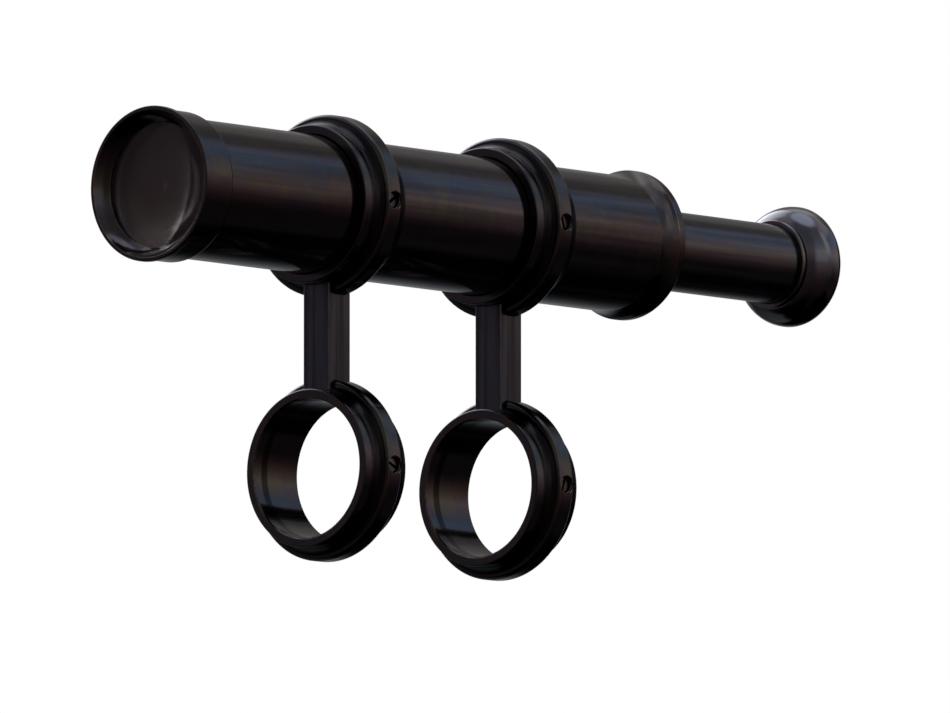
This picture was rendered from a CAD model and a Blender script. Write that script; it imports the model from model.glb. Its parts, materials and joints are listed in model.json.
"""A small finder telescope held by two ring-and-post brackets.

The telescope lies along X with its objective towards +X, in the upper rings. The
lower rings are below it (-Z), and the set screws enter the rings from +Y. The
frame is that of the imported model, in metres. Sizes here are in millimetres
unless a comment says otherwise.

A turned piece is drawn as an outline of (back, radius) points: back is the
distance behind the piece's front face, radius the distance from its axis. A point
(back, radius, arc radius, side) starts an arc to the next point.
"""

import bmesh
import bpy
import json
import math
import numpy as np
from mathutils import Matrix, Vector


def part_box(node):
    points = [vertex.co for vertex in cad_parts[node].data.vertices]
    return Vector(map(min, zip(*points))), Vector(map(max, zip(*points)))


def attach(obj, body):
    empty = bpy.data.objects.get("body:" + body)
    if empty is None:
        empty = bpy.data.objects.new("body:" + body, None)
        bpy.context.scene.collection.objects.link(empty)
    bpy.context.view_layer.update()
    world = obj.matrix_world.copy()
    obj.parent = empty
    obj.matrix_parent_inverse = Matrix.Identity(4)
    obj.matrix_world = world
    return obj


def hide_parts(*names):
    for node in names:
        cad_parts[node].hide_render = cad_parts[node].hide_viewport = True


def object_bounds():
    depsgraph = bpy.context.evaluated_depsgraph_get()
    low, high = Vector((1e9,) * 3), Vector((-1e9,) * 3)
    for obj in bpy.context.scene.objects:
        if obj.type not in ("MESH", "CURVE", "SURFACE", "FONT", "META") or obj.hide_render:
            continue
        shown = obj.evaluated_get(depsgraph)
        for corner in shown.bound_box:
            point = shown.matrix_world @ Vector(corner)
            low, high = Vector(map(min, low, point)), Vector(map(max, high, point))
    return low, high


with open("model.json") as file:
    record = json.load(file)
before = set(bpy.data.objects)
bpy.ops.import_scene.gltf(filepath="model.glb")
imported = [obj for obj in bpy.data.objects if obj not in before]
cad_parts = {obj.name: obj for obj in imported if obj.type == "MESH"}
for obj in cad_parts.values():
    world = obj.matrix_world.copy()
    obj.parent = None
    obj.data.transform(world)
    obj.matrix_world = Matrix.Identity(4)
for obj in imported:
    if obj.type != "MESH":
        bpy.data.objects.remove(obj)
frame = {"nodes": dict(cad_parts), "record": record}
cad_lo, cad_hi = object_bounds()
CAD_BOX = [list(cad_lo), list(cad_hi)]
BODIES = frame["record"]["behaviour"]["bodies"]
BODY = {node: body for body, members in BODIES.items() for node in members}
MM = 0.001


def front(node):
    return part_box(node)[1].x / MM


def length(node):
    return front(node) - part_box(node)[0].x / MM


def height(node):
    lo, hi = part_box(node)
    return (lo.z + hi.z) / 2 / MM


def middle(node):
    lo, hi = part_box(node)
    return (lo.x + hi.x) / 2 / MM


UPPER_Z = height("main_tube")
LOWER_Z = height("front_lower_ring")
BRACKETS = ("front_upper", "rear_upper", "front_lower", "rear_lower")

# ------------------------------------------------------------------ outlines
ARC_STEP = 5.0          # degrees between points on an arc
ROUND_STEP = 15         # degrees between points on a rounded corner
SMOOTH_BEND = 14        # degrees; a gentler bend is left as it is
MOST_OF_RUN = 0.42      # share of a straight run that one round may take
HOLD = 0.22             # distance of a holding loop from the end of a run
HOLD_RUN = 3.2 * HOLD   # a shorter run gets no holding loops
LOOP_SPACING = 5.0      # rough spacing of loops along a long run


def sampled(points, step=ARC_STEP):
    """The outline as a polyline, with each point's corner number, or None
    for a point inside an arc."""
    out, corners = [], []
    for i, point in enumerate(points):
        start = np.array(point[:2], float)
        end = np.array(points[(i + 1) % len(points)][:2], float)
        out.append(start)
        corners.append(i)
        if len(point) < 4:
            continue
        radius, side = point[2:]
        chord = end - start
        span = np.linalg.norm(chord)
        rise = math.sqrt(max(radius ** 2 - (span / 2) ** 2, 0.0))
        normal = np.array([-chord[1], chord[0]]) / span
        centre = (start + end) / 2 + normal * rise * side
        first = math.atan2(*(start - centre)[::-1])
        last = math.atan2(*(end - centre)[::-1])
        sweep = (last - first + math.pi) % (2 * math.pi) - math.pi
        count = max(3, int(math.ceil(abs(math.degrees(sweep)) / step)))
        for j in range(1, count):
            angle = first + sweep * j / count
            out.append(centre + radius * np.array([math.cos(angle), math.sin(angle)]))
            corners.append(None)
    return out, corners


def corner_round(point, arrive, leave, bend, reach, sign):
    """Points of a round that starts and ends at reach from a corner, each with
    its wear, which is greatest half way."""
    radius = reach / math.tan(bend / 2)
    inward = (leave - arrive) / np.linalg.norm(leave - arrive)
    centre = point + inward * (radius / math.cos(bend / 2))
    x, y = point - arrive * reach - centre
    steps = max(3, int(math.ceil(math.degrees(bend) / ROUND_STEP)))
    for j in range(steps + 1):
        angle = sign * bend * j / steps
        cos, sin = math.cos(angle), math.sin(angle)
        yield centre + np.array([x * cos - y * sin, x * sin + y * cos]), \
            1 - abs(2 * j / steps - 1) * 0.45


def held(points, wear, closed):
    """Adds loops along the straight runs, to hold the rounds at their ends."""
    out, out_wear = [], []
    for i, point in enumerate(points):
        out.append(point)
        out_wear.append(wear[i])
        if not closed and i == len(points) - 1:
            break
        run = points[(i + 1) % len(points)] - point
        span = np.linalg.norm(run)
        if span > HOLD_RUN:
            far = span - HOLD
            count = max(1, int(round((far - HOLD) / LOOP_SPACING)))
            between = [HOLD + (far - HOLD) * j / count for j in range(1, count)]
            for distance in [HOLD, *between, far]:
                out.append(point + run / span * distance)
                out_wear.append(0.0)
    return np.array(out), np.array(out_wear)


def softened(points, soft, rounds, step, closed):
    """The outline with its corners rounded by soft, or by the radius that rounds
    gives for a corner number. Wear is positive outside and negative inside."""
    raw, corners = sampled(points, step)
    count = len(raw)
    area = sum(raw[i][0] * raw[(i + 1) % count][1] - raw[(i + 1) % count][0] * raw[i][1]
               for i in range(count))
    turn = 1 if area > 0 else -1
    out, wear = [], []
    for i, point in enumerate(raw):
        arrive, leave = point - raw[i - 1], raw[(i + 1) % count] - point
        run_in, run_out = np.linalg.norm(arrive), np.linalg.norm(leave)
        arrive, leave = arrive / run_in, leave / run_out
        bend = math.acos(max(-1.0, min(1.0, float(arrive @ leave))))
        open_end = not closed and i in (0, count - 1)
        fixed = corners[i] is None or open_end
        radius = 0 if fixed else rounds.get(corners[i], soft)
        if math.degrees(bend) < SMOOTH_BEND or radius <= 0:
            out.append(point)
            wear.append(0.0)
            continue
        reach = min(radius * math.tan(bend / 2), MOST_OF_RUN * run_in, MOST_OF_RUN * run_out)
        cross = arrive[0] * leave[1] - arrive[1] * leave[0]
        sign = 1 if cross > 0 else -1
        side = 1 if cross * turn > 0 else -1
        for place, amount in corner_round(point, arrive, leave, bend, reach, sign):
            out.append(place)
            wear.append(side * amount)
    return held(out, wear, closed)


# -------------------------------------------------------------------- meshes
def new_object(name, points, faces, unit=MM):
    mesh = bpy.data.meshes.new(name)
    mesh.from_pydata([tuple(c * unit for c in point) for point in points], [], faces)
    mesh.validate()
    obj = bpy.data.objects.new(name, mesh)
    bpy.context.scene.collection.objects.link(obj)
    return obj


def new_solid(name, points, faces):
    """A closed mesh whose faces point outwards."""
    obj = new_object(name, points, faces)
    bm = bmesh.new()
    bm.from_mesh(obj.data)
    bmesh.ops.recalc_face_normals(bm, faces=bm.faces)
    if bm.calc_volume(signed=True) < 0:
        bmesh.ops.reverse_faces(bm, faces=bm.faces)
    bm.to_mesh(obj.data)
    bm.free()
    return obj


def revolve(name, outline, place, segments, closed, phase=0.0):
    """Turns an outline (station, radius) about an axis. place(station, a, b) gives
    the point at a, b off the axis. An open outline starts and ends on the axis."""
    points, faces, rings = [], [], []
    for station, radius in outline:
        start = len(points)
        if radius < 1e-6:
            rings.append([start])
            points.append(place(station, 0.0, 0.0))
            continue
        rings.append(list(range(start, start + segments)))
        for j in range(segments):
            angle = 2 * math.pi * (j + phase) / segments
            points.append(place(station, radius * math.cos(angle), radius * math.sin(angle)))
    for i in range(len(rings) if closed else len(rings) - 1):
        near, far = rings[i], rings[(i + 1) % len(rings)]
        for j in range(segments):
            k = (j + 1) % segments
            if len(near) == 1:
                faces.append((near[0], far[k], far[j]))
            elif len(far) == 1:
                faces.append((near[j], near[k], far[0]))
            else:
                faces.append((near[j], near[k], far[k], far[j]))
    return new_solid(name, points, faces)


def lathe(name, outline, front_x, axis_z, segments, closed=True):
    """Turns an outline about an axis along X."""
    def place(back, across, up):
        return front_x - back, across, axis_z + up
    return revolve(name, outline, place, segments, closed)


def stacked(name, loops, triangles=False):
    """Joins equal loops of points into a capped solid."""
    size, last = len(loops[0]), len(loops) - 1
    faces = []
    for i in range(last):
        for j in range(size):
            k = (j + 1) % size
            a, b, c, d = i * size + j, i * size + k, (i + 1) * size + k, (i + 1) * size + j
            faces += [(a, b, c), (a, c, d)] if triangles else [(a, b, c, d)]
    faces.append(tuple(reversed(range(size))))
    faces.append(tuple(range(last * size, (last + 1) * size)))
    return new_solid(name, [point for loop in loops for point in loop], faces)


def circle(radius, segments):
    angles = [2 * math.pi * j / segments for j in range(segments)]
    return [(radius * math.cos(angle), radius * math.sin(angle)) for angle in angles]


def boolean(obj, tool, operation="DIFFERENCE", all_layers=True):
    """Applies a boolean to obj's mesh and removes the tool."""
    modifier = obj.modifiers.new("boolean", "BOOLEAN")
    modifier.operation = operation
    modifier.solver = "EXACT"
    modifier.object = tool
    bpy.context.view_layer.update()
    depsgraph = bpy.context.evaluated_depsgraph_get()
    mesh = bpy.data.meshes.new_from_object(
        obj.evaluated_get(depsgraph), preserve_all_data_layers=all_layers, depsgraph=depsgraph)
    obj.modifiers.clear()
    old = obj.data
    name = old.name
    obj.data = mesh
    bpy.data.meshes.remove(old)
    mesh.name = name
    tool_mesh = tool.data
    bpy.data.objects.remove(tool)
    bpy.data.meshes.remove(tool_mesh)


def weld(obj, gap):
    """Closes slivers narrower than the gap that a cut has left."""
    bm = bmesh.new()
    bm.from_mesh(obj.data)
    bmesh.ops.remove_doubles(bm, verts=bm.verts, dist=gap * MM)
    bmesh.ops.dissolve_degenerate(bm, dist=gap * MM, edges=bm.edges)
    bm.to_mesh(obj.data)
    bm.free()


def points_of(obj):
    """The mesh points, in mm."""
    flat = np.zeros(len(obj.data.vertices) * 3)
    obj.data.vertices.foreach_get("co", flat)
    return flat.reshape(-1, 3) / MM


def put(obj, spot, wear):
    """Stores on each point its place on the piece ("spot", mm) and how worn its
    edge is ("wear"): up to 1 on outside edges, down to -1 in inside ones."""
    attributes = obj.data.attributes
    for name, kind, key, values in (("spot", "FLOAT_VECTOR", "vector", spot),
                                    ("wear", "FLOAT", "value", wear)):
        flat = np.asarray(values, np.float32).ravel()
        attributes.new(name, kind, "POINT").data.foreach_set(key, flat)


def outline_wear_at(places, outline, wear):
    """Wear at each (back, radius) place, read off the nearest outline run."""
    ends, end_wear = np.roll(outline, -1, 0), np.roll(wear, -1)
    found = np.zeros(len(places))
    best = np.full(len(places), 1e9)
    for i, start in enumerate(outline):
        run = ends[i] - start
        along = np.clip(((places - start) @ run) / max(float(run @ run), 1e-12), 0, 1)
        distance = np.hypot(*(places - start - along[:, None] * run).T)
        near = distance < best
        best[near] = distance[near]
        found[near] = (wear[i] * (1 - along) + end_wear[i] * along)[near]
    found[best > 0.02] = 0.0
    return found


# ----------------------------------------------------------------- materials
class Net:
    """A short way to write a node tree that ends in one surface shader."""

    def __init__(self, owner, output):
        owner.use_nodes = True
        self.owner = owner
        self.tree = owner.node_tree
        self.tree.nodes.clear()
        self.output = self.node(output)

    def node(self, kind, inputs=None, **settings):
        made = self.tree.nodes.new(kind)
        made.location = (40 * len(self.tree.nodes), 0)
        for key, value in settings.items():
            setattr(made, key, value)
        for key, value in (inputs or {}).items():
            self.feed(made.inputs[key], value)
        return made

    def feed(self, socket, value):
        if isinstance(value, bpy.types.NodeSocket):
            self.tree.links.new(value, socket)
        elif isinstance(value, tuple) and socket.type == "RGBA":
            socket.default_value = (*value, 1.0)
        else:
            socket.default_value = value

    def surface(self, shader):
        self.feed(self.output.inputs["Surface"], shader)
        return self.owner

    def shader(self, kind, inputs=None):
        return self.node("ShaderNode" + kind, inputs).outputs[0]

    def mix_shader(self, factor, first, second):
        return self.shader("MixShader", {0: factor, 1: first, 2: second})

    def math(self, operation, *values):
        inputs = dict(enumerate(values))
        return self.node("ShaderNodeMath", inputs, operation=operation).outputs[0]

    def add(self, first, second):
        return self.math("ADD", first, second)

    def times(self, first, second):
        return self.math("MULTIPLY", first, second)

    def swing(self, value, amount):
        """The value's distance from a half, scaled."""
        return self.times(self.math("SUBTRACT", value, 0.5), amount)

    def length(self, first, second):
        return self.math("SQRT", self.add(self.times(first, first), self.times(second, second)))

    def vector(self, operation, *values, **named):
        inputs = {**dict(enumerate(values)), **named}
        made = self.node("ShaderNodeVectorMath", inputs, operation=operation)
        return made.outputs["Vector"]

    def split(self, vector):
        return tuple(self.node("ShaderNodeSeparateXYZ", {0: vector}).outputs)

    def join(self, x, y, z):
        return self.node("ShaderNodeCombineXYZ", {0: x, 1: y, 2: z}).outputs[0]

    def scaled(self, parts, factors):
        return self.join(*(self.times(part, factor) for part, factor in zip(parts, factors)))

    def span(self, value, over, to=(0.0, 1.0)):
        """Carries the range over smoothly to the range to, and holds the ends."""
        return self.node("ShaderNodeMapRange", {
            "Value": value, "From Min": over[0], "From Max": over[1],
            "To Min": to[0], "To Max": to[1],
        }, interpolation_type="SMOOTHSTEP", clamp=True).outputs[0]

    def noise(self, vector, scale, detail, rough, twist=0.0):
        return self.node("ShaderNodeTexNoise", {
            "Vector": vector, "Scale": scale, "Detail": detail, "Roughness": rough,
            "Distortion": twist}).outputs[0]

    def lathe_marks(self, back, radial, stretch, scale):
        place = self.join(self.times(back, stretch), self.times(radial, stretch), 0.0)
        return self.noise(place, scale, detail=3.0, rough=0.6)

    def cells(self, vector, scale):
        made = self.node("ShaderNodeTexVoronoi", {"Vector": vector, "Scale": scale}, feature="F1")
        return made.outputs["Distance"]

    def mix(self, factor, first, second, blend="MIX"):
        return self.node("ShaderNodeMix", {0: factor, 6: first, 7: second},
                         data_type="RGBA", blend_type=blend).outputs[2]

    def ramp(self, factor, stops):
        made = self.node("ShaderNodeValToRGB", {0: factor})
        made.color_ramp.interpolation = "LINEAR"
        elements = made.color_ramp.elements
        while len(elements) < len(stops):
            elements.new(0.5)
        for element, (position, colour) in zip(elements, stops):
            element.position = position
            element.color = (*colour, 1.0)
        return made.outputs[0]

    def attribute(self, name, output):
        return self.node("ShaderNodeAttribute", attribute_name=name).outputs[output]

    def coordinate(self, name):
        return self.node("ShaderNodeTexCoord").outputs[name]

    def bump(self, height, strength, distance, normal=None):
        """Distance is in metres."""
        inputs = {"Height": height, "Strength": strength, "Distance": distance}
        if normal is not None:
            inputs["Normal"] = normal
        return self.node("ShaderNodeBump", inputs).outputs[0]


def new_material(name):
    return Net(bpy.data.materials.new(name), "ShaderNodeOutputMaterial")


def spot_of(net, axis_z=None):
    """Position from the piece's axis in mm: (along, across, up). A piece kept as
    CAD has no stored spot, so its axis height is given instead."""
    if axis_z is None:
        return net.attribute("spot", "Vector")
    place = net.vector("SCALE", net.coordinate("Object"), Scale=1 / MM)
    return net.vector("SUBTRACT", place, (0.0, 0.0, axis_z))


# Patina colours, in the order the mottling runs through them.
PATINA_STOPS = (0.36, 0.45, 0.51, 0.57, 0.65)
PATINA = [(0.040, 0.024, 0.016), (0.072, 0.045, 0.030), (0.044, 0.034, 0.054),
          (0.074, 0.060, 0.034), (0.034, 0.038, 0.056)]
SATIN = [(0.036, 0.028, 0.026), (0.050, 0.038, 0.036), (0.038, 0.034, 0.042),
         (0.050, 0.044, 0.036), (0.034, 0.034, 0.044)]
BLUED = [(0.022, 0.024, 0.032), (0.034, 0.034, 0.042), (0.030, 0.032, 0.050),
         (0.038, 0.036, 0.040), (0.024, 0.028, 0.046)]
HANDLED = [(0.050, 0.038, 0.044), (0.090, 0.064, 0.066), (0.070, 0.070, 0.090),
           (0.100, 0.082, 0.080), (0.056, 0.060, 0.092)]
MARK_COLOUR = (0.055, 0.042, 0.032)
COPPER = (0.26, 0.15, 0.085)
GRIME = (0.006, 0.005, 0.005)

# Drawn streaks by kind of piece: stretch of the noise, range of brightness.
STREAKS = {"bar": ((1.0, 1.0, 0.02), (0.55, 1.45)), "tube": ((0.03, 1.0, 1.0), (0.78, 1.22))}

# Where grime fills the ring's groove: start and end behind the front, top radius.
RING_GROOVE = (3.1, 5.45, 23.0)


def tool_marks(net, kind, parts, radial):
    """Fine marks left by the lathe or the buffing wheel."""
    back, across, up = parts
    if kind == "bar":
        place = net.scaled(parts, (5.0, 5.0, 0.12))
        return net.noise(place, scale=1.3, detail=4.0, rough=0.7)
    if kind == "tube":
        around = net.vector("NORMALIZE", net.join(0.0, across, up))
        place = net.scaled((back, *net.split(around)[1:]), (0.10, 46.0, 46.0))
        return net.noise(place, scale=1.5, detail=4.0, rough=0.7)
    return net.lathe_marks(back, radial, stretch=7.0, scale=1.2)


def groove_grime(net, back, radial):
    start, end, top = RING_GROOVE
    along = net.times(net.span(back, over=(start - 0.3, start + 0.3)),
                      net.span(back, over=(end + 0.15, end - 0.15)))
    return net.times(along, net.span(radial, over=(top + 0.3, top - 0.3)))


def bronze(name, kind="turned", colours=PATINA, tint=1.0, coat=1.0, haze=0.0, grooved=False):
    """Blackened brass under thin lacquer: near black, brown and violet by turns,
    with copper on rubbed edges. Kind is turned, tube or bar; only a turned
    piece can be grooved."""
    net = new_material(name)
    spot = spot_of(net)
    parts = net.split(spot)
    back = parts[0]
    radial = net.length(*parts[1:]) if kind == "turned" else None

    # slow drift of the patina, and finer mottling within it
    slow = net.noise(spot, scale=0.035, detail=3.0, rough=0.55, twist=0.6)
    mottle = net.noise(spot, scale=0.16, detail=4.0, rough=0.6, twist=0.3)
    fine = net.noise(spot, scale=1.1, detail=5.0, rough=0.65)
    patina = net.add(net.times(slow, 0.55), net.add(net.times(mottle, 0.3), net.times(fine, 0.15)))
    body = net.ramp(patina, [(stop, tuple(value * tint for value in colour))
                             for stop, colour in zip(PATINA_STOPS, colours)])
    marks = tool_marks(net, kind, parts, radial)
    body = net.mix(net.span(marks, over=(0.35, 0.75), to=(0.0, 0.4)),
                   body, tuple(value * tint for value in MARK_COLOUR))

    # rubbed edges show copper, inside corners hold grime
    wear = net.attribute("wear", "Fac")
    patchy = net.span(net.add(mottle, net.times(fine, 0.6)), over=(0.62, 0.98))
    rubbed = net.times(net.span(wear, over=(0.25, 0.95)), patchy)
    body = net.mix(net.times(rubbed, 0.7), body, COPPER)
    grime = net.span(wear, over=(-0.2, -0.9))
    if grooved:
        grime = net.math("MAXIMUM", grime, groove_grime(net, back, radial))
    body = net.mix(net.times(grime, 0.8), body, GRIME)
    coat_weight = net.times(coat, net.math("SUBTRACT", 1.0, net.times(grime, 0.8)))
    if kind in STREAKS:
        stretch, brightness = STREAKS[kind]
        streak = net.noise(net.vector("MULTIPLY", spot, stretch), scale=0.42, detail=2.0, rough=0.5)
        streak = net.span(streak, over=(0.35, 0.65), to=brightness)
        body = net.mix(1.0, body, net.join(streak, streak, streak), blend="MULTIPLY")
        coat_weight = net.times(coat_weight, streak)
    rough = net.add(0.16 + haze, net.add(net.swing(mottle, 0.16), net.swing(marks, 0.10)))

    # bump: slow waves of hand polishing, fine marks, a few pits
    drawn = net.vector("MULTIPLY", spot, (0.4, 1.0, 1.0)) if kind == "tube" else spot
    wave = net.noise(drawn, scale=0.035, detail=2.0, rough=0.45, twist=0.4)
    wave = net.bump(wave, strength=0.30, distance=0.0012)
    tool = net.bump(marks, strength=0.05, distance=0.00012, normal=wave)
    pits = net.span(net.cells(net.scaled(parts, (0.25, 1.6, 1.6)), scale=0.9), over=(0.02, 0.10))
    return net.surface(net.shader("BsdfPrincipled", {
        "Base Color": body, "Metallic": 1.0, "Roughness": rough,
        "Normal": net.bump(pits, strength=0.10, distance=0.00003, normal=tool),
        "Coat Weight": coat_weight,
        "Coat Roughness": net.span(mottle, over=(0.3, 0.8), to=(0.045 + haze, 0.11 + haze)),
        "Coat IOR": 1.5, "Coat Normal": wave}))


def brass(name, axis_z):
    """Bare machined brass, dulled, for the parts that run inside."""
    net = new_material(name)
    spot = spot_of(net, axis_z)
    back, across, up = net.split(spot)
    mottle = net.noise(spot, scale=0.3, detail=5.0, rough=0.6, twist=0.4)
    marks = net.lathe_marks(back, net.length(across, up), stretch=8.0, scale=1.4)
    base = net.ramp(mottle, [
        (0.3, (0.34, 0.21, 0.08)), (0.55, (0.58, 0.41, 0.17)), (0.8, (0.44, 0.30, 0.12))])
    bright = (0.68, 0.52, 0.26)
    return net.surface(net.shader("BsdfPrincipled", {
        "Base Color": net.mix(net.span(marks, over=(0.4, 0.8), to=(0.0, 0.35)), base, bright),
        "Metallic": 1.0,
        "Roughness": net.span(mottle, over=(0.3, 0.8), to=(0.24, 0.42)),
        "Normal": net.bump(marks, strength=0.15, distance=0.0001)}))


def black(name, axis_z=None):
    """Matt black inside an optical instrument, with faint turning marks."""
    net = new_material(name)
    spot = spot_of(net, axis_z)
    back, across, up = net.split(spot)
    grain = net.noise(spot, scale=4.0, detail=6.0, rough=0.7)
    patch = net.noise(spot, scale=0.25, detail=3.0, rough=0.6)
    marks = net.lathe_marks(back, net.length(across, up), stretch=6.0, scale=1.2)
    grey = 0.014
    shades = [(0.35, (0.7, 0.66, 0.68)), (0.6, (1.0, 0.93, 0.95)), (0.8, (1.6, 1.5, 1.45))]
    mottle = net.add(net.times(patch, 0.6), net.times(grain, 0.4))
    return net.surface(net.shader("BsdfPrincipled", {
        "Base Color": net.ramp(mottle, [(stop, tuple(grey * value for value in shade))
                                        for stop, shade in shades]),
        "Roughness": net.span(grain, over=(0.3, 0.8), to=(0.5, 0.75)),
        "Specular IOR Level": 0.35,
        "Normal": net.bump(net.add(grain, marks), strength=0.2, distance=0.00008)}))


def glass(name, axis_z=None, tint=(0.90, 0.88, 0.92), film=100.0):
    """Polished lens with a single antireflection layer (film, in nm), whose
    residual colour is a dull purple, and a little dust and wiping haze."""
    net = new_material(name)
    spot = spot_of(net, axis_z)
    dust = net.noise(spot, scale=2.6, detail=6.0, rough=0.75)
    wipe = net.noise(net.vector("MULTIPLY", spot, (1.0, 0.22, 0.9)),
                     scale=0.5, detail=4.0, rough=0.6, twist=1.2)
    lens = net.shader("BsdfPrincipled", {
        "Base Color": tint, "Roughness": net.span(dust, over=(0.62, 0.85), to=(0.0, 0.08)),
        "IOR": 1.52, "Transmission Weight": 1.0,
        "Thin Film Thickness": film, "Thin Film IOR": 1.38})
    dirt = net.shader("BsdfDiffuse", {"Color": (0.38, 0.34, 0.40)})
    haze = net.add(net.span(wipe, over=(0.45, 0.8), to=(0.0, 0.006)),
                   net.span(dust, over=(0.68, 0.9), to=(0.0, 0.05)))
    return net.surface(net.mix_shader(haze, lens, dirt))


def screw_steel(name):
    """Dark steel with paler worn edges."""
    net = new_material(name)
    spot = spot_of(net)
    grain = net.noise(spot, scale=3.0, detail=5.0, rough=0.7)
    patch = net.noise(spot, scale=0.7, detail=3.0, rough=0.6)
    base = net.ramp(patch, [
        (0.35, (0.018, 0.016, 0.016)), (0.55, (0.034, 0.030, 0.030)), (0.75, (0.060, 0.048, 0.040))])
    worn = net.times(net.span(net.attribute("wear", "Fac"), over=(0.3, 0.9)), 0.5)
    worn_colour = (0.16, 0.14, 0.13)
    return net.surface(net.shader("BsdfPrincipled", {
        "Base Color": net.mix(worn, base, worn_colour), "Metallic": 1.0,
        "Roughness": net.span(grain, over=(0.3, 0.8), to=(0.28, 0.5)),
        "Normal": net.bump(grain, strength=0.2, distance=0.00003)}))


TURNED = bronze("bronze_turned", tint=0.62, coat=0.5)
RINGS = bronze("bronze_ring", tint=0.62, coat=0.5, grooved=True)
TUBE = bronze("bronze_tube", "tube", tint=0.62, coat=0.5)
DRAWN = bronze("bronze_draw_tube", "tube", colours=SATIN, coat=0.6, haze=0.09)
BAR = bronze("bronze_bar", "bar", colours=BLUED, coat=0.35, haze=0.14)
EYE = bronze("bronze_eyecup", colours=HANDLED)
INSIDE = black("black_inside")
SCREW = screw_steel("screw_steel")
GLASS = glass("lens_glass")
CAD_BLACK = black("black_metal", UPPER_Z)
CAD_BRASS = brass("bare_brass", UPPER_Z)
CAD_GLASS = glass("lens_glass_inner", UPPER_Z, tint=(0.92, 0.90, 0.93), film=98.0)


# -------------------------------------------------------------- turned pieces
def finish_piece(obj, node, *materials, sharp=32.0):
    """Shades the piece, with edges over sharp degrees kept hard, and hands it to
    the frame in the CAD node's place."""
    mesh = obj.data
    for material in materials:
        mesh.materials.append(material)
    mesh.polygons.foreach_set("use_smooth", [True] * len(mesh.polygons))
    mesh.set_sharp_from_angle(angle=math.radians(sharp))
    mesh.update()
    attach(obj, BODY[node])
    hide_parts(node)


def turned(node, name, points, *materials, soft, rounds={}, segments=224, step=ARC_STEP,
           closed=True, inside=None, bore=None, mouth=None):
    """A piece turned from an outline. Faces whose middle passes inside(back,
    radius) get the second material. bore is cut away; mouth (x, z, radius,
    least y) is the rim it leaves, which is worn."""
    front_x, axis_z = front(node), height(node)
    outline, outline_wear = softened(points, soft, rounds, step, closed)
    obj = lathe(name, outline, front_x, axis_z, segments, closed)
    if bore:
        boolean(obj, bore)
    places = points_of(obj)
    spot = np.stack([front_x - places[:, 0], places[:, 1], places[:, 2] - axis_z], 1)
    across = np.hypot(spot[:, 1], spot[:, 2])
    wear = outline_wear_at(np.stack([spot[:, 0], across], 1), outline, outline_wear)
    if mouth:
        x, z, radius, least = mouth
        width = 0.25
        off = np.abs(np.hypot(places[:, 0] - x, places[:, 2] - z) - radius)
        on = (places[:, 1] > least) & (off < width)
        wear[on] = np.maximum(wear[on], 0.9 * (1 - off[on] / width))
    put(obj, spot, wear)
    if inside:
        for face in obj.data.polygons:
            x, y, z = face.center
            if inside(front_x - x / MM, math.hypot(y / MM, z / MM - axis_z)):
                face.material_index = 1
    finish_piece(obj, node, *materials)


turned("objective_cell", "cell", [
    (0, 19.15), (0, 19.85, 0.35, -1), (0.35, 20.2), (1.35, 20.2, 0.35, -1), (1.7, 19.85),
    (1.7, 19.9, 0.3, 1), (2.0, 19.6), (10.2, 19.6, 1.1, -1), (11.3, 18.5), (11.4, 18.43),
    (11.4, 18.18), (3.8, 18.18), (3.8, 16.3), (3.3, 16.3, 9.0, 1),
], TURNED, INSIDE, soft=0.12, rounds={0: 0.16, 11: 0.10},
    inside=lambda back, radius: back > 3.7 and radius < 18.3)

TUBE_LENGTH = length("main_tube")
TUBE_BORE, TUBE_RADIUS = 17.15, 18.15
turned("main_tube", "body_tube", [
    (0, TUBE_BORE), (0, 17.95), (0.2, TUBE_RADIUS), (TUBE_LENGTH, TUBE_RADIUS),
    (TUBE_LENGTH, TUBE_BORE),
], TUBE, INSIDE, soft=0.1, inside=lambda back, radius: radius < 17.3)

turned("end_ring", "tail_ring", [
    (0, 12.63), (0, 16.62), (0.5, 17.12), (11.02, 17.12), (11.02, TUBE_RADIUS, 14.0, 1),
    (16.62, 19.9), (18.52, 19.9, 0.7, -1), (19.22, 19.2), (19.22, 17.3, 1.0, -1),
    (18.22, 16.3), (18.22, 14.2), (19.02, 13.5), (19.02, 12.63),
], TURNED, soft=0.14, rounds={4: 0.05, 5: 0.5, 9: 0.2})

turned("draw_guide_sleeve", "guide_sleeve", [
    (0, 10.95), (0.3, 10.65), (8.0, 10.65), (8.5, 11.2), (33.5, 11.2), (34.0, 10.65),
    (42.0, 10.65), (42.0, 11.35, 0.35, 1), (41.65, 11.7), (40.6, 11.7), (40.6, 12.6),
    (0.4, 12.6), (0, 12.2),
], TURNED, soft=0.1, segments=160)

turned("draw_tube", "sliding_tube", [
    (0, 9.0), (0, 10.6), (121.0, 10.6), (121.0, 9.6), (95.0, 9.6), (95.0, 9.0),
], DRAWN, INSIDE, soft=0.12, segments=160, inside=lambda back, radius: radius < 9.7)

turned("eyecup", "eye_cup", [
    (0, 10.63), (0, 11.6), (0.3, 11.9), (0.9, 11.9), (1.15, 11.45), (1.5, 11.45),
    (1.6, 12.0, 8.6, -1), (9.0, 16.15, 3.2, -1), (12.4, 13.55), (12.4, 12.75, 14.0, 1),
    (8.52, 6.2), (8.52, 5.0), (7.02, 5.0), (7.02, 10.63),
], EYE, INSIDE, soft=0.12, rounds={7: 0.4, 9: 0.5, 10: 0.3}, segments=208, step=4.0,
    inside=lambda back, radius: radius < 4.9)

LENS_THICK, LENS_RADIUS = 5.0, 17.05
LENS_FRONT_CURVE, LENS_REAR_CURVE = 136.0, 100.0


def sag(curve, radius):
    """Depth of a spherical face of the given curve at a distance from its axis."""
    return curve - math.sqrt(curve * curve - radius * radius)


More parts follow.
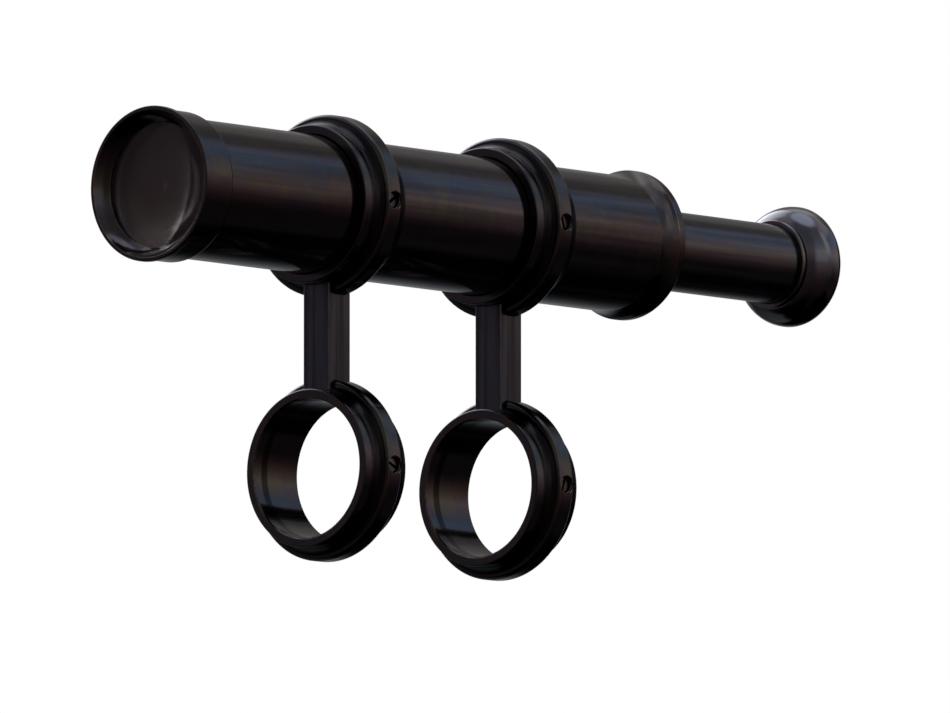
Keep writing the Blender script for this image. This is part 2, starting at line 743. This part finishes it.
turned("objective_crown_lens", "front_lens", [
    (0, 0, LENS_FRONT_CURVE, -1), (sag(LENS_FRONT_CURVE, LENS_RADIUS), LENS_RADIUS),
    (LENS_THICK - sag(LENS_REAR_CURVE, LENS_RADIUS), LENS_RADIUS, LENS_REAR_CURVE, -1),
    (LENS_THICK, 0),
], GLASS, soft=0.12, segments=192, step=0.6, closed=False)

# ------------------------------------------------------------------ brackets
RING_LENGTH, RING_BORE = 17.5, 18.2
LIP_RADIUS = 20.7                     # front lip of a ring
BAND_FRONT, BAND_REAR = 5.4, 11.1     # the raised band, behind the front face
BAND_RADIUS, BAND_ROUND = 23.8, 1.2
CHAMFER = 0.3
POST_BACK = 8.2                       # post and screw axes behind the ring's front


def ring_profile(grow=0.0):
    """Outside of a bracket ring, from front to rear, grown by a clearance."""
    front_edge, rear_edge = BAND_FRONT - grow, BAND_REAR + grow
    band = BAND_RADIUS + grow
    rear = RING_LENGTH + grow
    return [
        (0 - grow, LIP_RADIUS + grow - 0.5, 0.5, -1), (0.5 - grow, LIP_RADIUS + grow),
        (2.8 - grow, LIP_RADIUS + grow, 2.6, 1), (front_edge, 22.5 + grow),
        (front_edge, band - BAND_ROUND, BAND_ROUND, -1), (front_edge + BAND_ROUND, band),
        (rear_edge - BAND_ROUND, band, BAND_ROUND, -1), (rear_edge, band - BAND_ROUND),
        (rear_edge, 22.2 + grow, 12.0, 1), (rear - CHAMFER, 19.35 + grow), (rear, 19.05 + grow),
    ]


# Hole for a set screw: (y from the ring's axis, radius).
SCREW_HOLE = [
    (16.0, 0.0), (16.0, 2.05), (23.2, 2.05), (23.36, 2.22), (23.36, 2.36), (23.50, 2.40),
    (23.60, 2.42), (24.6, 3.25), (24.6, 0.0),
]
MOUTH_RADIUS, MOUTH_LEAST_Y = 2.48, 22.9


def bracket_ring(place):
    node = place + "_ring"
    hole_x, axis_z = front(node) - POST_BACK, height(node)
    hole = revolve("bore_cut", SCREW_HOLE, lambda y, a, b: (hole_x + a, y, axis_z + b),
                   segments=72, closed=False, phase=0.5)
    bore = [(RING_LENGTH, RING_BORE + CHAMFER), (RING_LENGTH - CHAMFER, RING_BORE),
            (CHAMFER, RING_BORE)]
    turned(node, "ring_" + place, [(0, RING_BORE + CHAMFER)] + ring_profile() + bore, RINGS,
           soft=0.16, rounds={3: 0.18, 4: 0.25, 9: 0.35, 10: 0.4}, bore=hole,
           mouth=(hole_x, axis_z, MOUTH_RADIUS, MOUTH_LEAST_Y))


for bracket in BRACKETS:
    bracket_ring(bracket)

POST_HALF, POST_EASE = 4.45, 0.7
POST_END = 14.0                # ends of the uncut bar, inwards from the ring axes
COPE_CLEARANCE = 0.02
TENON_RADIUS, TENON_EASE = 2.5, 0.2
TENON_LO, TENON_HI = 19.6, 24.2


def peg(x, lo, hi):
    """An upright round peg with eased ends."""
    eased = TENON_RADIUS - TENON_EASE
    levels = ((lo, eased), (lo + TENON_EASE, TENON_RADIUS), (hi - TENON_EASE, TENON_RADIUS),
              (hi, eased))
    return stacked("peg", [[(x + a, b, z) for a, b in circle(radius, 64)]
                           for z, radius in levels])


def bracket_post(node, name):
    """A square bar with eased edges, coped over both rings, on round tenons."""
    post_x = middle(node)
    flat = POST_HALF - POST_EASE
    section = []
    for side_x, side_y, start in ((1, 1, 0), (-1, 1, 90), (-1, -1, 180), (1, -1, 270)):
        for j in range(7):
            angle = math.radians(start + 90 * j / 6)
            section.append((side_x * flat + POST_EASE * math.cos(angle),
                            side_y * flat + POST_EASE * math.sin(angle)))
    levels = np.linspace(POST_END, UPPER_Z - POST_END, 24)
    obj = stacked(name, [[(post_x + x, y, z) for x, y in section] for z in levels])
    for axis_z in (LOWER_Z, UPPER_Z):
        line = ring_profile(COPE_CLEARANCE)
        rear = RING_LENGTH + COPE_CLEARANCE
        solid = [(line[0][0], 0.0)] + line[:-1] + [(rear, RING_BORE), (rear, 0.0)]
        boolean(obj, lathe(name + "_cope", np.array(sampled(solid)[0]), post_x + POST_BACK,
                           axis_z, segments=256, closed=False))
    # tenons, one at each end, standing into the rings
    for lo, hi in ((TENON_LO, TENON_HI), (UPPER_Z - TENON_HI, UPPER_Z - TENON_LO)):
        boolean(obj, peg(post_x, lo, hi), "UNION", all_layers=False)
    places = points_of(obj)
    x, y = np.abs(places[:, 0] - post_x), np.abs(places[:, 1])
    eased = (x > flat + 0.02) & (y > flat + 0.02) & (np.hypot(x - flat, y - flat) > 0.5)
    put(obj, np.stack([post_x - places[:, 0], places[:, 1], places[:, 2]], 1),
        np.where(eased, 0.45, 0.0))
    finish_piece(obj, node, BAR)


bracket_post("front_post", "post_front")
bracket_post("rear_post", "post_rear")

THREAD_PITCH, THREAD_MAJOR, THREAD_MINOR = 0.7, 1.98, 1.64   # pitch, then radii
INNER_END, OUTER_END = 1.5, 1.78        # end radii, where the chamfers start
SCREW_SEGMENTS, SCREW_LAYER = 72, 0.05
SLOT_HALF, SLOT_LIP, SLOT_DEPTH = 0.37, 0.44, 1.085
BLADE_REACH = 3.0
SLIVER = 0.004


def threaded_rod(name, x, z, bottom, top):
    """A rod along Y with a helical thread and chamfered ends."""
    span = top - bottom
    layers = int(round(span / SCREW_LAYER))
    loops = []
    for i in range(layers + 1):
        along = span * i / layers
        chamfer = min(INNER_END + along, OUTER_END + (span - along), THREAD_MAJOR)
        loop = []
        for j in range(SCREW_SEGMENTS):
            angle = 2 * math.pi * j / SCREW_SEGMENTS
            phase = (along / THREAD_PITCH - j / SCREW_SEGMENTS) % 1.0
            tooth = 1 - abs(2 * phase - 1)
            # flat root and crest, with a straight flank between
            tooth = max(0.0, min(1.0, (tooth - 0.16) / 0.68))
            radius = min(THREAD_MINOR + (THREAD_MAJOR - THREAD_MINOR) * tooth, chamfer)
            loop.append((x + radius * math.cos(angle), bottom + along,
                         z + radius * math.sin(angle)))
        loops.append(loop)
    return stacked(name, loops, triangles=True)


def slot_blade(name, centre, along, side, top):
    """Cutter for the driver slot, widened at the top to ease its lips."""
    right = [(SLOT_HALF, top - SLOT_DEPTH), (SLOT_HALF, top - 0.08), (SLOT_LIP, top + 0.02),
             (SLOT_LIP, top + 0.6)]
    left = [(-across, y) for across, y in reversed(right)]
    section = [left[-1]] + right + left[:-1]
    points = []
    for end in (-BLADE_REACH, BLADE_REACH):
        for across, y in section:
            place = centre + along * end + side * across
            points.append((place.x, y, place.z))
    size = len(section)
    faces = [tuple(range(size)), tuple(reversed(range(size, 2 * size)))]
    faces += [(i, i + size, (i + 1) % size + size, (i + 1) % size) for i in range(size)]
    return new_solid(name, points, faces)


def set_screw(place, degrees):
    """A headless slotted screw, its slot turned by the given angle."""
    node, name = place + "_set_screw", "screw_" + place
    x, z = middle(node), height(node)
    lo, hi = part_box(node)
    top = hi.y / MM
    obj = threaded_rod(name, x, z, lo.y / MM, top)
    angle = math.radians(degrees)
    along = Vector((math.cos(angle), 0, -math.sin(angle)))
    side = Vector((math.sin(angle), 0, math.cos(angle)))
    boolean(obj, slot_blade(name + "_blade", Vector((x, 0, z)), along, side, top))
    weld(obj, SLIVER)
    places = points_of(obj)
    spot = places - np.array([x, 0, z])
    # worn at the top: the slot's lips and the outer rim
    lips = np.abs(np.abs(spot @ np.array(side)) - 0.40) < 0.12
    rim = np.hypot(spot[:, 0], spot[:, 2]) > 1.6
    put(obj, spot, np.where((places[:, 1] > top - 0.12) & (lips | rim), 0.8, 0.0))
    finish_piece(obj, node, SCREW, sharp=38.0)


for bracket, slot_angle in zip(BRACKETS, (35, 110, 155, 75)):
    set_screw(bracket, slot_angle)

# ---------------------------------------------------- inner pieces kept as CAD
for node, material in {
    "objective_spacer_ring": CAD_BLACK, "objective_flint_lens": CAD_GLASS,
    "objective_retaining_ring": CAD_BLACK, "tube_baffle": CAD_BLACK,
    "draw_stop_collar": CAD_BRASS, "reticle_ring": CAD_BLACK, "reticle_wires": CAD_BLACK,
    "eyepiece_field_lens": CAD_GLASS, "eyepiece_spacer": CAD_BLACK,
    "eyepiece_eye_lens": CAD_GLASS, "eyepiece_retaining_ring": CAD_BLACK,
}.items():
    kept = frame["nodes"][node]
    kept.data.materials.clear()
    kept.data.materials.append(material)

# -------------------------------------------------------------------- studio
# Colours are listed by elevation in degrees. Azimuths run from +X towards +Y.
ROOM = [(-90, (0.012, 0.012, 0.014)), (-30, (0.02, 0.02, 0.023)), (-4, (0.05, 0.048, 0.05)),
        (8, (0.16, 0.155, 0.16)), (44, (0.24, 0.235, 0.24)), (56, (0.95, 0.95, 1.00)),
        (90, (0.90, 0.90, 0.96))]

# Each panel: azimuth, half width, softness of its sides (degrees), colours.
PANELS = [
    # a soft box high in front
    (5, 62, 12, [
        (-60, (0.0, 0.0, 0.0)), (-34, (0.08, 0.06, 0.07)), (-10, (0.15, 0.12, 0.13)),
        (4, (0.20, 0.185, 0.20)), (22, (0.50, 0.50, 0.53)), (32, (0.42, 0.44, 0.49)),
        (42, (0.32, 0.35, 0.42)), (62, (0.34, 0.37, 0.44)), (90, (0.60, 0.62, 0.70))]),
    # a wide soft box on the +Y side
    (82, 28, 9, [
        (-60, (0.02, 0.02, 0.024)), (-34, (0.10, 0.07, 0.08)), (-18, (0.18, 0.13, 0.14)),
        (-6, (0.38, 0.31, 0.32)), (3, (0.52, 0.48, 0.50)), (9, (1.00, 0.99, 1.00)),
        (24, (1.10, 1.12, 1.18)), (31, (0.72, 0.80, 0.95)), (46, (0.48, 0.54, 0.66)),
        (60, (0.40, 0.44, 0.54)), (90, (0.50, 0.55, 0.62))]),
    # a brighter strip beside it
    (108, 9, 6, [
        (-60, (0.0, 0.0, 0.0)), (-22, (0.08, 0.08, 0.08)), (0, (0.40, 0.38, 0.40)),
        (10, (0.70, 0.70, 0.72)), (22, (1.50, 1.50, 1.56)), (50, (1.60, 1.62, 1.72)),
        (64, (0.50, 0.52, 0.60)), (90, (0.50, 0.55, 0.62))]),
    # a window on the -Y side
    (-88, 34, 5, [
        (-64, (0.0, 0.0, 0.0)), (-56, (0.22, 0.24, 0.26)), (-42, (0.18, 0.20, 0.22)),
        (-20, (0.05, 0.055, 0.065)), (2, (0.45, 0.45, 0.50)), (20, (1.00, 1.00, 1.10)),
        (27, (4.60, 4.65, 5.10)), (46, (3.40, 3.45, 3.90)), (60, (2.20, 2.25, 2.60)),
        (68, (0.60, 0.62, 0.70)), (90, (0.40, 0.40, 0.44))]),
    # a window towards the rear and +Y
    (142, 25, 7, [
        (-60, (0, 0, 0)), (-41, (0.0, 0.0, 0.0)), (-36, (0.06, 0.055, 0.065)),
        (-17, (0.06, 0.05, 0.055)), (-9, (0.16, 0.11, 0.13)), (-1, (0.40, 0.28, 0.27)),
        (7, (0.72, 0.58, 0.53)), (14.5, (1.10, 0.97, 0.93)), (22, (0.82, 0.80, 0.92)),
        (29, (0.55, 0.68, 0.95)), (35, (0.50, 0.70, 1.05)), (41, (0.52, 0.57, 0.80)),
        (47, (0.95, 1.00, 1.18)), (60, (1.00, 1.04, 1.20)), (74, (0.50, 0.52, 0.60)),
        (90, (0.40, 0.42, 0.48))]),
    # the paper backdrop, towards the rear and -Y
    (-146, 20, 5, [
        (-90, (0, 0, 0)), (-38, (0.0, 0.0, 0.0)), (-30, (0.02, 0.022, 0.025)),
        (-22, (0.13, 0.14, 0.155)), (-8, (0.30, 0.315, 0.33)), (16, (0.33, 0.325, 0.325)),
        (30, (0.26, 0.25, 0.245)), (42, (0.34, 0.32, 0.31)), (52, (1.30, 1.30, 1.36)),
        (68, (1.30, 1.32, 1.42)), (90, (0.80, 0.82, 0.90))]),
    # a dim soft box towards the front and -Y
    (-46, 22, 10, [
        (-50, (0.0, 0.0, 0.0)), (-30, (0.08, 0.08, 0.08)), (-6, (0.24, 0.23, 0.27)),
        (4, (0.27, 0.24, 0.29)), (14, (0.28, 0.26, 0.29)), (24, (0.50, 0.50, 0.54)),
        (34, (0.90, 0.92, 1.00)), (62, (0.85, 0.87, 0.95)), (90, (0.60, 0.60, 0.66))]),
]
CLOTH_TINT = (0.14, 0.16, 0.24)
OVERHEAD_COLOUR = (1.85, 2.1, 2.55)
STUDIO_STRENGTH = 0.66


def elevation_at(degrees):
    """An elevation on the ramp scale: 0 straight down, 1 straight up."""
    return 0.5 + degrees / 180.0


def studio():
    """Soft boxes and dark gaps round the object, as its polish mirrors them. The
    camera itself sees plain white behind the object."""
    world = bpy.data.worlds.new("studio")
    bpy.context.scene.world = world
    net = Net(world, "ShaderNodeOutputWorld")
    x, y, z = net.split(net.coordinate("Generated"))
    up = net.math("DIVIDE", net.math("ARCSINE", z), math.pi / 2)
    elevation = net.add(net.times(up, 0.5), 0.5)
    level = net.math("MAXIMUM", net.length(x, y), 1e-4)

    def sector(azimuth, half, soft):
        angle = math.radians(azimuth)
        facing = net.add(net.times(x, math.cos(angle)), net.times(y, math.sin(angle)))
        return net.span(net.math("DIVIDE", facing, level),
                        over=(math.cos(math.radians(half + soft)),
                              math.cos(math.radians(max(half - soft, 0.0)))))

    def colours(stops):
        return net.ramp(elevation, [(elevation_at(angle), colour) for angle, colour in stops])

    total = colours(ROOM)
    for azimuth, half, soft, stops in PANELS:
        total = net.mix(sector(azimuth, half, soft), total, colours(stops))
    # dark cloth low behind the object, beside the rear window
    shaded = net.mix(1.0, total, CLOTH_TINT, blend="MULTIPLY")
    low = net.span(elevation, over=(elevation_at(28), elevation_at(20)))
    total = net.mix(net.times(sector(azimuth=172, half=15, soft=4), low), total, shaded)
    # a round soft box overhead
    overhead = net.span(z, over=(math.sin(math.radians(67)), math.sin(math.radians(75))))
    total = net.mix(overhead, total, OVERHEAD_COLOUR)
    lit = net.shader("Background", {"Color": total, "Strength": STUDIO_STRENGTH})
    seen = net.shader("Background", {"Color": (1.0, 1.0, 1.0), "Strength": 1.0})
    camera_ray = net.node("ShaderNodeLightPath").outputs["Is Camera Ray"]
    net.surface(net.mix_shader(camera_ray, lit, seen))
    world.cycles.sampling_method = "MANUAL"
    world.cycles.sample_map_resolution = 512


studio()

# The floor, in metres.
FLOOR_GAP = 0.0006
FLOOR_RADIUS = 4.0
FLOOR_FADE = (0.28, 0.75)
FLOOR_SEGMENTS, FLOOR_RINGS = 96, 16


def floor_material(centre_x):
    net = new_material("pale_floor")
    place = net.coordinate("Object")
    x, y, _ = net.split(net.vector("SUBTRACT", place, (centre_x, 0.0, 0.0)))
    mottle = net.noise(place, scale=30.0, detail=5.0, rough=0.6)
    pale = net.mix(mottle, (0.80, 0.80, 0.80), (0.83, 0.83, 0.83))
    paint = net.shader("BsdfDiffuse", {"Color": pale})
    clear = net.shader("BsdfTransparent")
    below = net.node("ShaderNodeNewGeometry").outputs["Backfacing"]
    gone = net.math("MAXIMUM", below, net.span(net.length(x, y), over=FLOOR_FADE))
    return net.surface(net.mix_shader(gone, paint, clear))


def floor():
    """A pale floor just under the lower rings. It fades out at a distance, and
    is open from below, where the camera stands."""
    level = CAD_BOX[0][2] - FLOOR_GAP
    centre_x = (CAD_BOX[0][0] + CAD_BOX[1][0]) / 2
    size = FLOOR_SEGMENTS
    points = [(centre_x, 0.0, level)]
    for i in range(1, FLOOR_RINGS + 1):
        radius = FLOOR_RADIUS * (i / FLOOR_RINGS) ** 2
        points += [(centre_x + x, y, level) for x, y in circle(radius, size)]
    faces = [(0, 1 + j, 1 + (j + 1) % size) for j in range(size)]
    for i in range(FLOOR_RINGS - 1):
        near, far = 1 + i * size, 1 + (i + 1) * size
        for j in range(size):
            k = (j + 1) % size
            faces.append((near + j, far + j, far + k, near + k))
    obj = new_object("floor", points, faces, unit=1.0)
    obj.data.materials.append(floor_material(centre_x))
    obj.visible_glossy = False
    obj.visible_transmission = False


floor()


def overhead_lamp():
    """A broad lamp above, unseen in the polish. Metres."""
    lamp = bpy.data.lights.new("overhead", "AREA")
    lamp.shape = "DISK"
    lamp.size = 1.6
    lamp.energy = 30.0
    target = Vector((-0.06, 0.0, 0.03))
    obj = bpy.data.objects.new("overhead", lamp)
    obj.location = (0.1, -0.25, 1.5)
    obj.rotation_mode = "QUATERNION"
    obj.rotation_quaternion = (target - obj.location).to_track_quat("-Z", "Y")
    obj.visible_glossy = False
    obj.visible_camera = False
    bpy.context.scene.collection.objects.link(obj)


overhead_lamp()

# Azimuth runs from -Y towards +X; distances from the object are in metres.
VIEW_AZIMUTH, VIEW_ELEVATION = math.radians(130.8), math.radians(-6.06)
VIEW_DISTANCE = 5.09
VIEW_SHIFT = Vector((0.002, 0.0, 0.0))


def view_camera():
    """A long lens, looking slightly up at the front and the +Y side."""
    camera = bpy.data.cameras.new("view")
    camera.sensor_width = 36.0
    camera.lens = 735.0
    camera.clip_start = 0.1
    camera.clip_end = 60.0
    obj = bpy.data.objects.new("view", camera)
    bpy.context.scene.collection.objects.link(obj)
    centre = (cad_lo + cad_hi) / 2 + VIEW_SHIFT
    away = Vector((math.sin(VIEW_AZIMUTH) * math.cos(VIEW_ELEVATION),
                   -math.cos(VIEW_AZIMUTH) * math.cos(VIEW_ELEVATION),
                   math.sin(VIEW_ELEVATION)))
    obj.rotation_mode = "QUATERNION"
    obj.location = centre + away * VIEW_DISTANCE
    obj.rotation_quaternion = (-away).to_track_quat("-Z", "Y")
    bpy.context.scene.camera = obj


view_camera()

scene = bpy.context.scene
scene.view_settings.view_transform = "Standard"
scene.view_settings.look = "None"
scene.cycles.max_bounces = 16
scene.cycles.transmission_bounces = 12
scene.cycles.transparent_max_bounces = 12
scene.cycles.glossy_bounces = 6
scene.cycles.use_denoising = True
